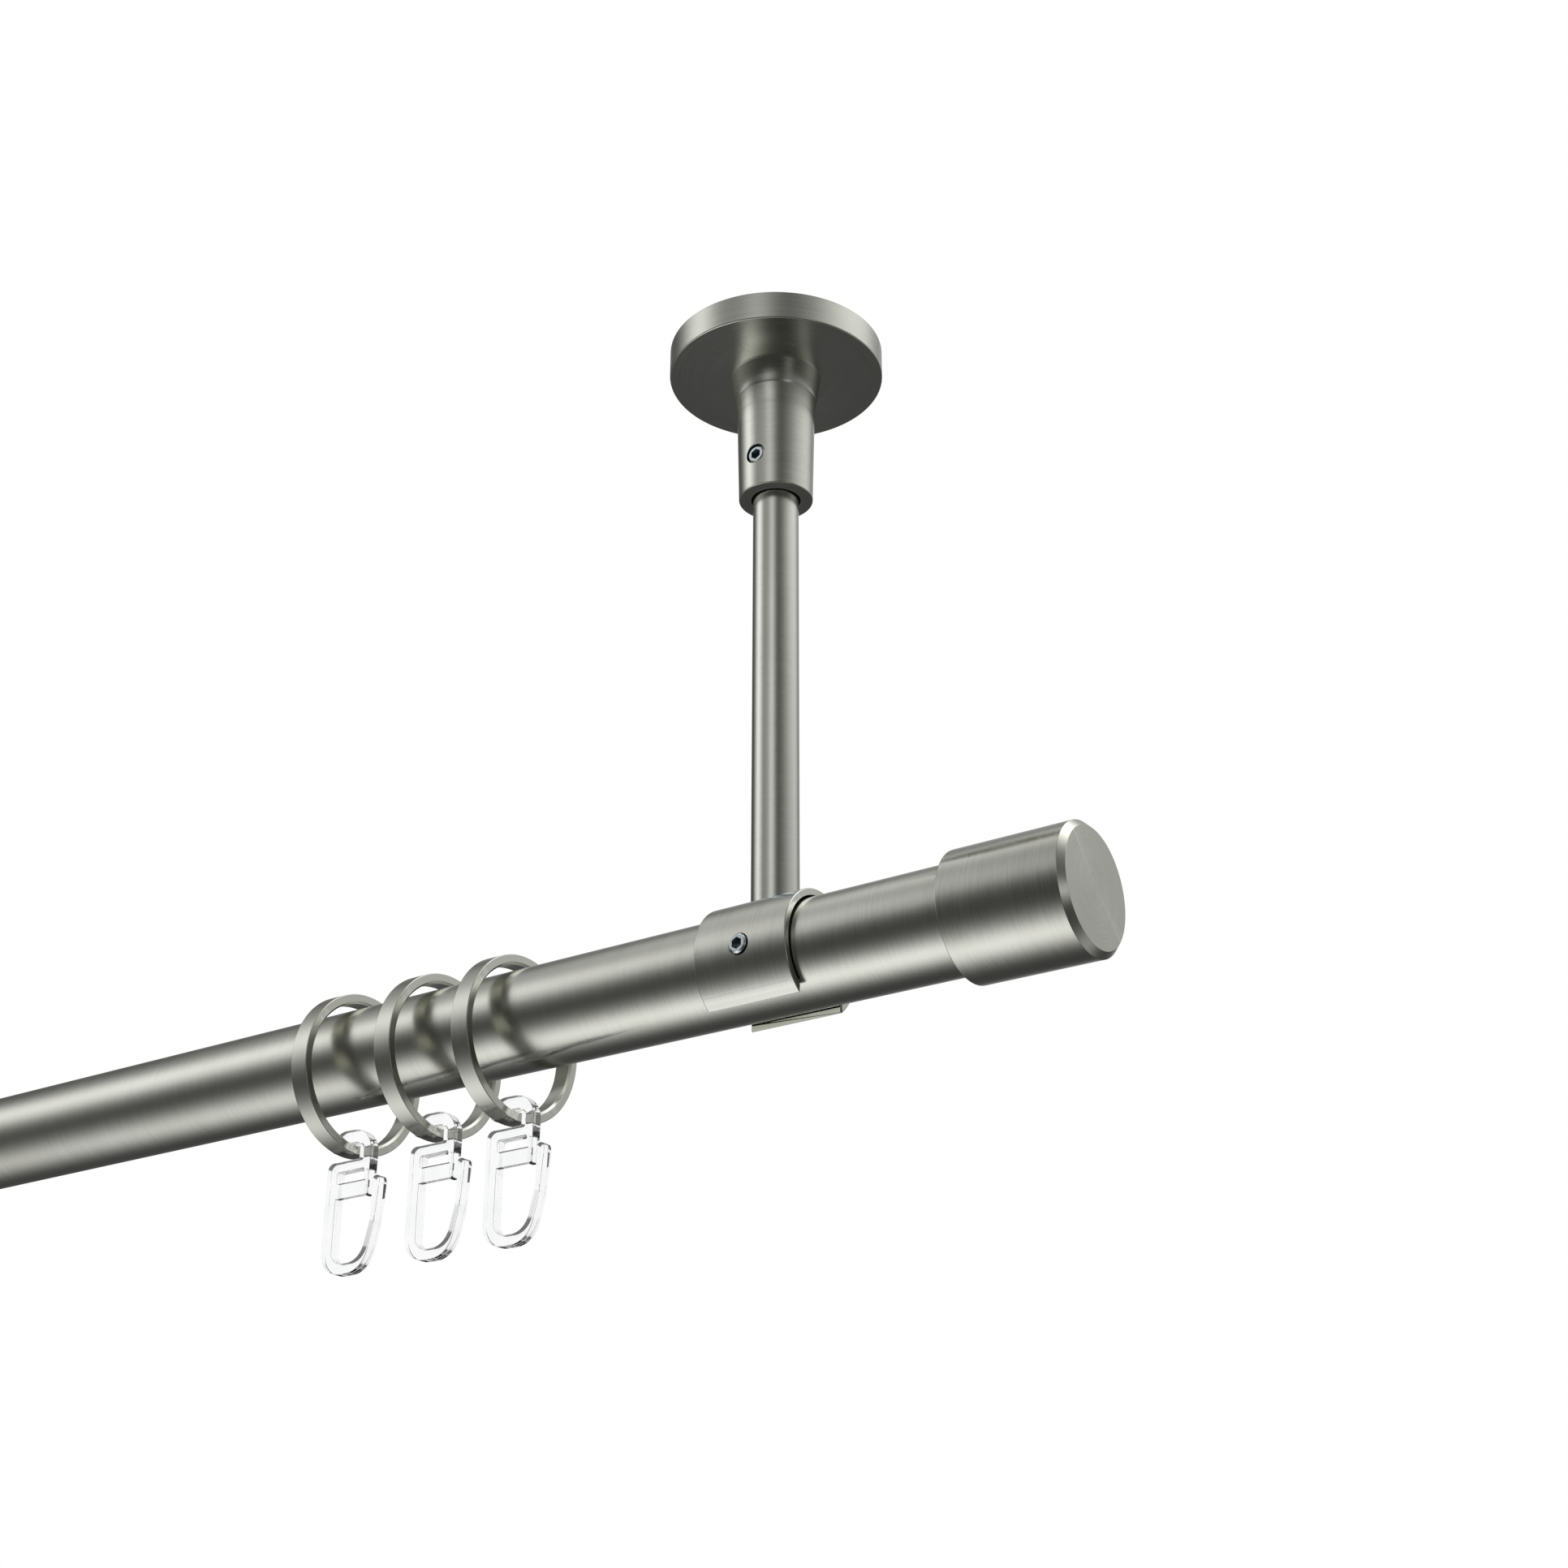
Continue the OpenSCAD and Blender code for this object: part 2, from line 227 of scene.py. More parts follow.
def shade_turned(obj, strips, centre, axis):
    """Gives a turned mesh, cut or not, the exact normals of its profile. A cut's own faces stay flat."""
    mesh = obj.data
    e1, e2 = (np.array(e) for e in basis_of(axis))
    along, middle = np.array(axis), np.array(centre)
    starts = np.array([s[0] for s in strips]) * MM
    spans = np.array([s[2] for s in strips]) * MM - starts
    lengths = np.maximum((spans**2).sum(1), TINY**2)
    from_normals = np.array([s[1] for s in strips])
    to_normals = np.array([s[3] for s in strips])

    coords = read_all(mesh.vertices, "co", 3) - middle
    across = np.stack([coords @ e1, coords @ e2], 1)
    radius = np.hypot(across[:, 0], across[:, 1])
    flat = np.stack([coords @ along, radius], 1)

    face_normals = read_all(mesh.polygons, "normal", 3)
    face_middles = read_all(mesh.polygons, "center", 3) - middle
    sizes = read_all(mesh.polygons, "loop_total", 1, int)
    corner_vertex = read_all(mesh.loops, "vertex_index", 1, int)
    corner_face = np.repeat(np.arange(len(sizes)), sizes)
    face_flat = np.zeros((len(sizes), 2))
    np.add.at(face_flat, corner_face, flat[corner_vertex])
    face_flat /= sizes[:, None]
    face_across = np.stack([face_middles @ e1, face_middles @ e2], 1)
    face_radial = face_across / np.maximum(np.linalg.norm(face_across, axis=1), TINY)[:, None]
    outward_part = (face_normals @ e1) * face_radial[:, 0] + (face_normals @ e2) * face_radial[:, 1]
    face_profile = np.stack([face_normals @ along, outward_part], 1)

    reach = face_flat[:, None] - starts[None]
    share = np.clip((reach * spans).sum(2) / lengths, 0, 1)
    off = np.linalg.norm(reach - spans * share[:, :, None], axis=2)
    off[face_profile @ (from_normals + to_normals).T / 2 < NORMAL_AGREES] = np.inf
    best = off.argmin(1)
    turned_face = off.min(1) < STRIP_NEAR

    k = best[corner_face]
    share = np.clip(((flat[corner_vertex] - starts[k]) * spans[k]).sum(1) / lengths[k], 0, 1)[:, None]
    profile = from_normals[k] * (1 - share) + to_normals[k] * share
    on_axis = radius[corner_vertex] < ON_AXIS
    radial = across[corner_vertex] / np.maximum(radius[corner_vertex], TINY)[:, None]
    radial[on_axis] = face_radial[corner_face][on_axis]
    normals = profile[:, :1] * along + profile[:, 1:] * (radial[:, :1] * e1 + radial[:, 1:] * e2)
    normals /= np.linalg.norm(normals, axis=1)[:, None]
    flat_corner = ~turned_face[corner_face]
    normals[flat_corner] = face_normals[corner_face][flat_corner]
    mesh.polygons.foreach_set("use_smooth", np.ones(len(sizes), bool))
    mesh.normals_split_custom_set(normals.tolist())


def cut(obj, *cutters):
    """Takes the cutters out of a mesh for good, and makes any modifier on it real."""
    for cutter in cutters:
        modifier = obj.modifiers.new("cut", "BOOLEAN")
        modifier.operation = "DIFFERENCE"
        modifier.solver = "EXACT"
        modifier.object = cutter
    bpy.context.view_layer.update()
    result = bpy.data.meshes.new_from_object(obj.evaluated_get(bpy.context.evaluated_depsgraph_get()))
    obj.modifiers.clear()
    old, obj.data = obj.data, result
    bpy.data.meshes.remove(old)
    for cutter in cutters:
        bpy.data.objects.remove(cutter)


def drill(centre, axis, start, end, radius, segments=DRILL_SEGMENTS):
    """A round or hexagonal cutter along an axis, in mm from centre."""
    corners = [(start, 0, 0), (start, radius, 0), (end, radius, 0), (end, 0, 0)]
    return turned("cutter", corners, centre, axis, segments)[0]


# ---------------------------------------------------------------- places
def middle_of(node):
    """Middle of a node's box, m."""
    low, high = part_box(node)
    return (low + high) / 2


def size_of(node):
    """Size of a node's box, mm."""
    low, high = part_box(node)
    return (high - low) / MM


def top_of(node):
    """The middle of the top of a piece on a bracket's axis."""
    return Vector((middle_of(node).x, 0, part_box(node)[1].z))


def outward(side):
    return X_AXIS if side == "right" else -X_AXIS


TUBE_CENTRE = middle_of("rod_tube")
ROD_Z = TUBE_CENTRE.z
RING_Z = middle_of("ring_01").z
BRACKET_X = middle_of("collar_right").x


# ---------------------------------------------------------------- pieces
def finish_piece(obj, body, node, material):
    """Gives a piece its material and slot, the body it rides on and the CAD node it replaces."""
    obj.data.materials.clear()
    obj.data.materials.append(material)
    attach(obj, body)
    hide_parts(node)


def make_disc(side):
    """Hollow cup with a hole for the stud."""
    node = f"ceiling_disc_{side}"
    r, h = size_of(node).x / 2, size_of(node).z
    corners = [
        (0, r, DISC_TOP_EDGE), (-h, r, DISC_EDGE), (-h, STUD_HOLE_R, 0), (-h + DISC_WALL, STUD_HOLE_R, 0),
        (-h + DISC_WALL, r - DISC_WALL, DISC_INNER_EDGE), (0, r - DISC_WALL, 0),
    ]
    obj, _ = turned(f"disc_{side}", corners, top_of(node), Z_AXIS)
    finish_piece(obj, "brackets", node, DISC_STEEL)


def cove(r1, z1, r2, z2, power):
    """Corners of a curve down a profile: a power of 1 is straight, more is hollow and less swells out."""
    corners = []
    for i in range(COVE_STEPS + 1):
        share = i / COVE_STEPS
        edge = 0 if i in (0, COVE_STEPS) else SMOOTH
        corners.append((z1 + (z2 - z1) * share, r2 + (r1 - r2) * (1 - share) ** power, edge))
    return corners


def make_collar(side):
    """Flared collar, bored from below for the drop rod and through for the stud."""
    node = f"collar_{side}"
    centre = top_of(node)
    top_r, h = size_of(node).x / 2, size_of(node).z
    bore_top = COLLAR_BORE_H - h
    flare_z = -COLLAR_FLARE_H
    corners = [
        (0, top_r, 0), *cove(top_r, -COLLAR_LIP, COLLAR_FLARE_R, flare_z, FLARE_POWER),
        *cove(COLLAR_FLARE_R, flare_z, COLLAR_NECK_R, flare_z - COLLAR_COVE_H, COVE_POWER)[1:],
        (-h, COLLAR_LOW_R, COLLAR_EDGE), (-h, COLLAR_BORE_R, COLLAR_BORE_EDGE),
        (bore_top, COLLAR_BORE_R, 0), (bore_top, STUD_HOLE_R, 0), (0, STUD_HOLE_R, 0),
    ]
    obj, strips = turned(f"collar_{side}_turned", corners, centre, Z_AXIS)
    hole_centre = Vector((centre.x, 0, middle_of(f"collar_set_screw_{side}").z))
    inner, outer = COLLAR_BORE_R - COLLAR_DRILL_INSET, top_r + DRILL_MARGIN
    cut(obj, drill(hole_centre, -Y_AXIS, inner, outer, SET_SCREW_HOLE_R))
    shade_turned(obj, strips, centre, Z_AXIS)
    finish_piece(obj, "brackets", node, STEEL_Z)


def make_drop_rod(side):
    """Round bar whose lower end follows the clamp's back."""
    node = f"drop_rod_{side}"
    centre = top_of(node)
    r = size_of(node).x / 2 * MM
    clamp_r = size_of(f"clamp_{side}").y / 2 * MM
    n = SEGMENTS
    top = [place(centre, Z_AXIS, 0, r, math.tau * i / n) for i in range(n)]
    bottom = [Vector((p.x, p.y, ROD_Z + math.sqrt(clamp_r**2 - p.y**2))) for p in top]
    faces = [[i, i + n, (i + 1) % n + n, (i + 1) % n] for i in range(n)]
    faces += [list(range(n)), list(range(2 * n - 1, n - 1, -1))]
    obj = add_mesh(f"drop_rod_{side}_turned", top + bottom, faces)
    for polygon in obj.data.polygons:
        polygon.use_smooth = len(polygon.vertices) == 4
    obj.data.set_sharp_from_angle(angle=math.radians(DROP_ROD_SHARP))
    finish_piece(obj, "brackets", node, STEEL_Z)
    # its mirror image would be a dark streak along the tube
    obj.visible_glossy = False


def clamp_sections(centre, strips):
    """The clamp's section at each step round it, drawn in by the bevel at its two upright ends."""
    full = [(s[0], CLAMP_CUT_BEVEL) for s in strips]
    inset = [(s[0] - s[1] * CLAMP_CUT_BEVEL, 0) for s in strips]

    def section(corners, share):
        ring = []
        for (along, radius), short_of_end in corners:
            end = math.pi - math.asin((CLAMP_SLOT / 2 + short_of_end) / radius)
            ring.append(place(centre, X_AXIS, along * MM, radius * MM, end * share))
        return ring

    between = [section(full, share) for share in np.linspace(-1, 1, SEGMENTS)]
    return [section(inset, -1), *between, section(inset, 1)]


def skin(sections):
    """Faces over a row of equal closed sections, with a face over each end."""
    count = len(sections[0])
    last = (len(sections) - 1) * count
    faces = []
    for row in range(0, last, count):
        for j in range(count):
            k = (j + 1) % count
            faces.append([row + j, row + k, row + count + k, row + count + j])
    return faces + [list(range(count))[::-1], list(range(last, last + count))]


def face_outward(obj):
    """Turns every face of a closed mesh to the outside."""
    bm = bmesh.new()
    bm.from_mesh(obj.data)
    bmesh.ops.recalc_face_normals(bm, faces=bm.faces)
    bm.to_mesh(obj.data)
    bm.free()


def make_clamp(side):
    """C-shaped clamp with a hole for the set screw and one for the drop rod's screw."""
    node = f"clamp_{side}"
    half, r = size_of(node).x / 2, size_of(node).y / 2
    centre = Vector((middle_of(node).x, 0, ROD_Z))
    strips = strips_of([
        (half, r, CLAMP_EDGE), (-half, r, CLAMP_EDGE),
        (-half, CLAMP_BORE_R, BORE_EDGE), (half, CLAMP_BORE_R, BORE_EDGE),
    ])
    sections = clamp_sections(centre, strips)
    obj = add_mesh(f"clamp_{side}_turned", [p for ring in sections for p in ring], skin(sections))
    face_outward(obj)
    inner, outer = CLAMP_BORE_R - CLAMP_DRILL_INSET, r + DRILL_MARGIN
    cut(
        obj,
        drill(centre, -Y_AXIS, inner, outer, SET_SCREW_HOLE_R),
        drill(centre, Z_AXIS, inner, outer, DROP_SCREW_HOLE_R),
    )
    shade_turned(obj, strips, centre, X_AXIS)
    finish_piece(obj, "brackets", node, STEEL_X)


def make_tube():
    """Tube with rounded edges at its ends."""
    half, r = size_of("rod_tube").x / 2, size_of("rod_tube").y / 2
    bore_r = r - TUBE_WALL
    corners = [
        (half, r, TUBE_EDGE), (-half, r, TUBE_EDGE), (-half, bore_r, BORE_EDGE), (half, bore_r, BORE_EDGE),
    ]
    obj, _ = turned("tube", corners, TUBE_CENTRE, X_AXIS)
    finish_piece(obj, "rod", "rod_tube", TUBE_STEEL)


def make_cap(side):
    """Cup with a chamfered face, open towards the tube."""
    node = f"end_cap_{side}"
    length, r = size_of(node).x, size_of(node).y / 2
    low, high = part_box(node)
    centre = Vector((high.x if side == "right" else low.x, 0, ROD_Z))
    corners = [
        (0, 0, 0), (0, r - CAP_CHAMFER, CAP_FACE_EDGE), (-CAP_CHAMFER, r, CAP_FACE_EDGE),
        (-length, r, CAP_RIM_EDGE), (-length, CAP_BORE_R, BORE_EDGE), (-CAP_FLOOR, CAP_BORE_R, 0),
        (-CAP_FLOOR, 0, 0),
    ]
    obj, _ = turned(f"cap_{side}", corners, centre, outward(side))
    finish_piece(obj, f"cap_{side}", node, CAP_STEEL)


def moved_copy(model, name, offset):
    """A copy of a finished piece's mesh at another place, with its own coordinates."""
    obj = bpy.data.objects.new(name, model.data.copy())
    obj.data.transform(Matrix.Translation(offset))
    bpy.context.scene.collection.objects.link(obj)
    return obj


def turn_ring():
    """The first ring: a flat band with a bevel on both sides of its bore."""
    half, r = size_of("ring_01").x / 2, size_of("ring_01").y / 2
    bevel_r, bevel_x = RING_BORE_R + RING_BEVEL, half - RING_BEVEL
    corners = [
        (half, r, RING_EDGE), (-half, r, RING_EDGE), (-half, bevel_r, RING_BEVEL_EDGE),
        (-bevel_x, RING_BORE_R, RING_BEVEL_EDGE), (bevel_x, RING_BORE_R, RING_BEVEL_EDGE),
        (half, bevel_r, RING_BEVEL_EDGE),
    ]
    return turned("ring_model", corners, middle_of("ring_01"), X_AXIS)[0]


def make_rings():
    """The rings, as copies of the first one."""
    model = turn_ring()
    for number in range(1, RING_COUNT + 1):
        node = f"ring_{number:02d}"
        obj = moved_copy(model, f"{node}_turned", middle_of(node) - middle_of("ring_01"))
        finish_piece(obj, f"ring_body_{number:02d}", node, RING_STEEL)
    bpy.data.objects.remove(model)


def make_set_screw(kind, side):
    """Grub screw whose hexagonal socket is painted dark as shade; its tip points to +Y."""
    node = f"{kind}_set_screw_{side}"
    length, r = size_of(node).y, size_of(node).x / 2
    centre = Vector((middle_of(node).x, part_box(node)[1].y, middle_of(node).z))
    corners = [
        (0, 0, 0), (0, r - SCREW_CHAMFER, 0), (SCREW_CHAMFER, r, SCREW_TIP_EDGE),
        (length - SCREW_CHAMFER, r, SCREW_TIP_EDGE), (length, r - SCREW_CHAMFER, SCREW_FACE_EDGE),
        (length, 0, 0),
    ]
    obj, strips = turned(f"{kind}_screw_{side}", corners, centre, -Y_AXIS, SCREW_SEGMENTS)
    socket_r = HEX_ACROSS_FLATS / 2 / math.cos(math.pi / HEX_SIDES)
    cut(obj, drill(centre, -Y_AXIS, length - HEX_DEPTH, length + DRILL_MARGIN, socket_r, HEX_SIDES))
    shade_turned(obj, strips, centre, -Y_AXIS)
    finish_piece(obj, "brackets", node, ZINC)
    # The faces down in the hex socket take a dark material: painted shade in the recess
    obj.data.materials.append(SOCKET_SHADE)
    for polygon in obj.data.polygons:
        offset = (polygon.center - centre) / MM
        in_shaded_socket = SCREW_CHAMFER < -offset.y < length - SOCKET_SHADE_RIM
        polygon.material_index = int(in_shaded_socket and math.hypot(offset.x, offset.z) < socket_r)


def mould_hook():
    """The first hook's CAD shape with its edges rounded."""
    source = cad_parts["hook_01"].data
    faces = [list(face.vertices) for face in source.polygons]
    obj = add_mesh("hook_model", [vertex.co for vertex in source.vertices], faces)
    bm = bmesh.new()
    bm.from_mesh(obj.data)
    bmesh.ops.remove_doubles(bm, verts=bm.verts, dist=HOOK_WELD * MM)
    bmesh.ops.dissolve_limit(bm, angle_limit=math.radians(FLAT_WITHIN), verts=bm.verts, edges=bm.edges)
    sharp_angle = math.radians(HOOK_SHARP)
    sharp = [e for e in bm.edges if len(e.link_faces) == 2 and e.calc_face_angle(0) > sharp_angle]
    bmesh.ops.bevel(
        bm, geom=sharp, offset=HOOK_EDGE * MM, segments=HOOK_EDGE_STEPS, profile=HOOK_EDGE_PROFILE,
        affect="EDGES", clamp_overlap=True,
    )
    for face in bm.faces:
        face.smooth = True
    bm.to_mesh(obj.data)
    bm.free()
    weighted = obj.modifiers.new("weighted", "WEIGHTED_NORMAL")
    weighted.mode = "FACE_AREA"
    weighted.weight = HOOK_NORMAL_WEIGHT
    cut(obj)
    return obj


def make_hooks():
    """The hooks, as copies of the first one."""
    model = mould_hook()
    for number in range(1, RING_COUNT + 1):
        node = f"hook_{number:02d}"
        obj = moved_copy(model, f"{node}_moulded", middle_of(node) - middle_of("hook_01"))
        finish_piece(obj, f"hook_body_{number:02d}", node, CLEAR)
    bpy.data.objects.remove(model)


# ---------------------------------------------------------------- node helpers
class Graph:
    """Short ways to add shader nodes."""

    def __init__(self, tree):
        self.tree = tree
        tree.nodes.clear()

    def node(self, kind, **settings):
        made = self.tree.nodes.new(kind)
        for name, value in settings.items():
            setattr(made, name, value)
        return made

    def feed(self, socket, value):
        if isinstance(value, bpy.types.NodeSocket):
            self.tree.links.new(value, socket)
        elif value is not None:
            socket.default_value = value

    def math(self, operation, a, b=None, c=None):
        made = self.node("ShaderNodeMath", operation=operation)
        for socket, value in zip(made.inputs, (a, b, c)):
            self.feed(socket, value)
        return made.outputs[0]

    def vector(self, operation, a, b=None):
        made = self.node("ShaderNodeVectorMath", operation=operation)
        for socket, value in zip(made.inputs, (a, b)):
            self.feed(socket, value)
        return made.outputs[1] if operation in ("DOT_PRODUCT", "LENGTH") else made.outputs[0]

    def combine(self, x, y, z):
        made = self.node("ShaderNodeCombineXYZ")
        for socket, value in zip(made.inputs, (x, y, z)):
            self.feed(socket, value)
        return made.outputs[0]

    def separate(self, vector):
        made = self.node("ShaderNodeSeparateXYZ")
        self.feed(made.inputs[0], vector)
        return made.outputs

    def noise(self, vector, scale, detail=2.0, rough=0.5):
        made = self.node("ShaderNodeTexNoise")
        self.feed(made.inputs["Vector"], vector)
        made.inputs["Scale"].default_value = scale
        made.inputs["Detail"].default_value = detail
        made.inputs["Roughness"].default_value = rough
        return made.outputs[0]

    def range(self, value, from_low, from_high, to_low, to_high):
        made = self.node("ShaderNodeMapRange")
        for socket, v in zip(made.inputs, (value, from_low, from_high, to_low, to_high)):
            self.feed(socket, v)
        return made.outputs[0]

    def mix_colour(self, share, a, b):
        made = self.node("ShaderNodeMix", data_type="RGBA")
        self.feed(made.inputs[0], share)
        self.feed(made.inputs[6], a)
        self.feed(made.inputs[7], b)
        return made.outputs[2]

    def mix_shader(self, share, a, b):
        made = self.node("ShaderNodeMixShader")
        for socket, value in zip(made.inputs, (share, a, b)):
            self.feed(socket, value)
        return made.outputs[0]

    def object_place(self):
        return self.node("ShaderNodeTexCoord").outputs["Object"]


# ---------------------------------------------------------------- material values
# The middle of a noise's values, which is stretched to the whole range of a colour or roughness
NARROW = (0.35, 0.65)
WIDE = (0.3, 0.7)

# Scales of the noises, in cells a metre
LINE_SCALE = 4200
STEEL_CLOUD = 70
STEEL_MARKS = 420
ZINC_MOTTLE = 900
ZINC_GRAIN = 4200
HOOK_FLOW = 260
BLACK_CLOUD = 160
BLACK_GRAIN = 3000
FLOOR_CLOUD = 3

# Turned lines: how much finer than the material's scale, cells round the piece, seed, detail
FINE_LINES = (1, 1.1, 0, 3.0)
DASHES = (1.3, 2.4, 40, 2.0)
BROAD_LINES = (1 / 9, 0.5, 80, 2.0)
LINE_SOFTNESS = 0.6
FINE_SHARE = 0.7

# Steel: how far its lines, clouds, dashes and marks change it
STEEL_TINT = (0.612, 0.616, 0.563)
# Lighter steel colour painted on raised edges as a highlight, and how much of it shows
STEEL_EDGE_HIGHLIGHT = (0.76, 0.77, 0.72)
STEEL_HIGHLIGHT_SHARE = 0.5
LINES_DARKEN, LINES_LIGHTEN = 0.13, 0.09
WARM_CAST = (1.0, 0.985, 0.93)
WARM_LIMITS = (0.4, 0.7)
WARM_SHARE = 0.35
LINES_ROUGHEN = (-0.035, 0.045)
CLOUDS_ROUGHEN = (-0.015, 0.02)
MARK_LIMITS = (0.62, 0.75)
MARKS_ROUGHEN = 0.05
MARK_DEPTH = 0.2
DASH_LIMITS = (0.25, 0.75)
DASH_SWING = 0.02
STEEL_BUMP = 0.35
QUARTER_TURN = 0.25

# Zinc, its thread, and the dark colour painted as shade in the screw sockets
ZINC_TINT = (0.80, 0.90, 0.93)
SOCKET_SHADE_TINT = (0.22, 0.3, 0.3)
PLATE_TINT = (0.6, 0.62, 0.66)
ZINC_DARKEN = 0.86
# Lighter zinc colour painted on raised edges as a highlight, and how much of it shows
ZINC_EDGE_HIGHLIGHT = (0.85, 0.87, 0.9)
ZINC_HIGHLIGHT_SHARE = 0.6
ZINC_ROUGH = (0.1, 0.2)
THREAD_TINTS = ((0.52, 0.55, 0.6), (0.68, 0.71, 0.77))
THREAD_ROUGH = (0.22, 0.34)
THREAD_PITCH = 1.0 * MM

# Plastics and floor
HOOK_TINTS = ((0.955, 0.965, 0.965), (0.99, 0.99, 0.99))
HOOK_CLEARNESS = (0.98, 1.0)
HOOK_IOR = 1.49
BLACK_TINTS = ((0.012, 0.012, 0.013), (0.03, 0.03, 0.032))
BLACK_ROUGH = (0.42, 0.58)
FLOOR_TINTS = ((0.91, 0.91, 0.9), (0.94, 0.94, 0.93))
FLOOR_ROUGH = 0.85

# Pointiness where the painted highlight on raised edges starts and where it is full
EDGE_HIGHLIGHT_LIMITS = (0.505, 0.56)
# Nearest a shaded point comes to its axis, so that no division fails, m
LEAST_RADIUS = 1e-5


# ---------------------------------------------------------------- materials
def new_material(name):
    material = bpy.data.materials.new(name)
    material.use_nodes = True
    graph = Graph(material.node_tree)
    shader = graph.node("ShaderNodeBsdfPrincipled")
    output = graph.node("ShaderNodeOutputMaterial")
    graph.feed(output.inputs["Surface"], shader.outputs[0])
    return material, graph, shader


def rgba(colour, factor=1):
    return tuple(c * factor for c in colour) + (1,)


def mottled(graph, noise, dark, light, limits=NARROW):
    """Two tones mixed by a noise."""
    return graph.mix_colour(graph.range(noise, *limits, 0, 1), rgba(dark), rgba(light))


def edge_highlight(graph, colour, share, highlight_colour):
    """A colour that turns towards a lighter one at raised edges: a painted edge highlight."""
    pointiness = graph.node("ShaderNodeNewGeometry").outputs["Pointiness"]
    at_edge = graph.range(pointiness, *EDGE_HIGHLIGHT_LIMITS, 0, 1)
    return graph.mix_colour(graph.math("MULTIPLY", at_edge, share), colour, rgba(highlight_colour))


def relief(graph, shader, height, strength, distance, normal=None):
    """Bumps on a shader, over its own normal or over the one given; the distance is in mm."""
    bump = graph.node("ShaderNodeBump")
    graph.feed(bump.inputs["Strength"], strength)
    graph.feed(bump.inputs["Distance"], distance * MM)
    graph.feed(bump.inputs["Height"], height)
    graph.feed(bump.inputs["Normal"], normal)
    graph.feed(shader.inputs["Normal"], bump.outputs[0])


def turned_coordinates(graph, axis, centre_z):
    """Where a point is on a turned piece: s runs over sides, faces and chamfers alike, u and v go round,
    and the last vector points round the piece."""
    position = graph.separate(graph.object_place())
    along_x = graph.math("ABSOLUTE", position[0])
    if axis == "X":
        along, u, v = along_x, position[1], graph.math("SUBTRACT", position[2], centre_z)
    else:
        along, u, v = position[2], graph.math("SUBTRACT", along_x, BRACKET_X), position[1]
    radius = graph.math("MAXIMUM", graph.vector("LENGTH", graph.combine(u, v, 0)), LEAST_RADIUS)
    s = graph.math("SUBTRACT", along, radius)
    u, v = graph.math("DIVIDE", u, radius), graph.math("DIVIDE", v, radius)
    minus_v = graph.math("MULTIPLY", v, -1)
    if axis == "X":
        round_way = graph.combine(0, minus_v, u)
    else:
        round_way = graph.combine(minus_v, graph.math("MULTIPLY", u, graph.math("SIGN", position[0])), 0)
    return s, u, v, round_way


def line_noise(graph, turned_place, line_scale, seed, kind):
    """Noise drawn out into lines round a piece."""
    s, u, v = turned_place
    finer, around, seed_step, detail = kind
    across = graph.math("MULTIPLY_ADD", s, line_scale * finer, seed + seed_step)
    vector = graph.combine(across, graph.math("MULTIPLY", u, around), graph.math("MULTIPLY", v, around))
    return graph.noise(vector, scale=1.0, detail=detail, rough=LINE_SOFTNESS)


def steel_colour(graph, grain, cloud, lines):
    """Darker and lighter lines, a warmer cloudy tone and a painted highlight on raised edges."""
    dark, light = rgba(STEEL_TINT, 1 - LINES_DARKEN * lines), rgba(STEEL_TINT, 1 + LINES_LIGHTEN * lines)
    colour = graph.mix_colour(graph.range(grain, *NARROW, 0, 1), dark, light)
    warm = rgba([c * cast for c, cast in zip(STEEL_TINT, WARM_CAST)])
    colour = graph.mix_colour(graph.range(cloud, *WARM_LIMITS, 0, WARM_SHARE), colour, warm)
    return edge_highlight(graph, colour, STEEL_HIGHLIGHT_SHARE, STEEL_EDGE_HIGHLIGHT)


def steel_roughness(graph, grain, cloud, marks, rough, lines):
    """Roughness that follows the lines and clouds, and is higher in the marks."""
    low, high = (rough + change * lines for change in LINES_ROUGHEN)
    from_lines = graph.range(grain, *WIDE, low, high)
    from_clouds = graph.range(cloud, *WIDE, *CLOUDS_ROUGHEN)
    return graph.math("MULTIPLY_ADD", marks, MARKS_ROUGHEN, graph.math("ADD", from_lines, from_clouds))


def swung_normal(graph, dashes, round_way, lines):
    """The surface's normal, swung a little way round the piece by short dashes."""
    scaled = graph.node("ShaderNodeVectorMath", operation="SCALE")
    graph.feed(scaled.inputs[0], round_way)
    swing = graph.range(dashes, *DASH_LIMITS, -DASH_SWING * lines, DASH_SWING * lines)
    graph.feed(scaled.inputs["Scale"], swing)
    surface = graph.node("ShaderNodeNewGeometry").outputs["Normal"]
    return graph.vector("NORMALIZE", graph.vector("ADD", surface, scaled.outputs[0]))


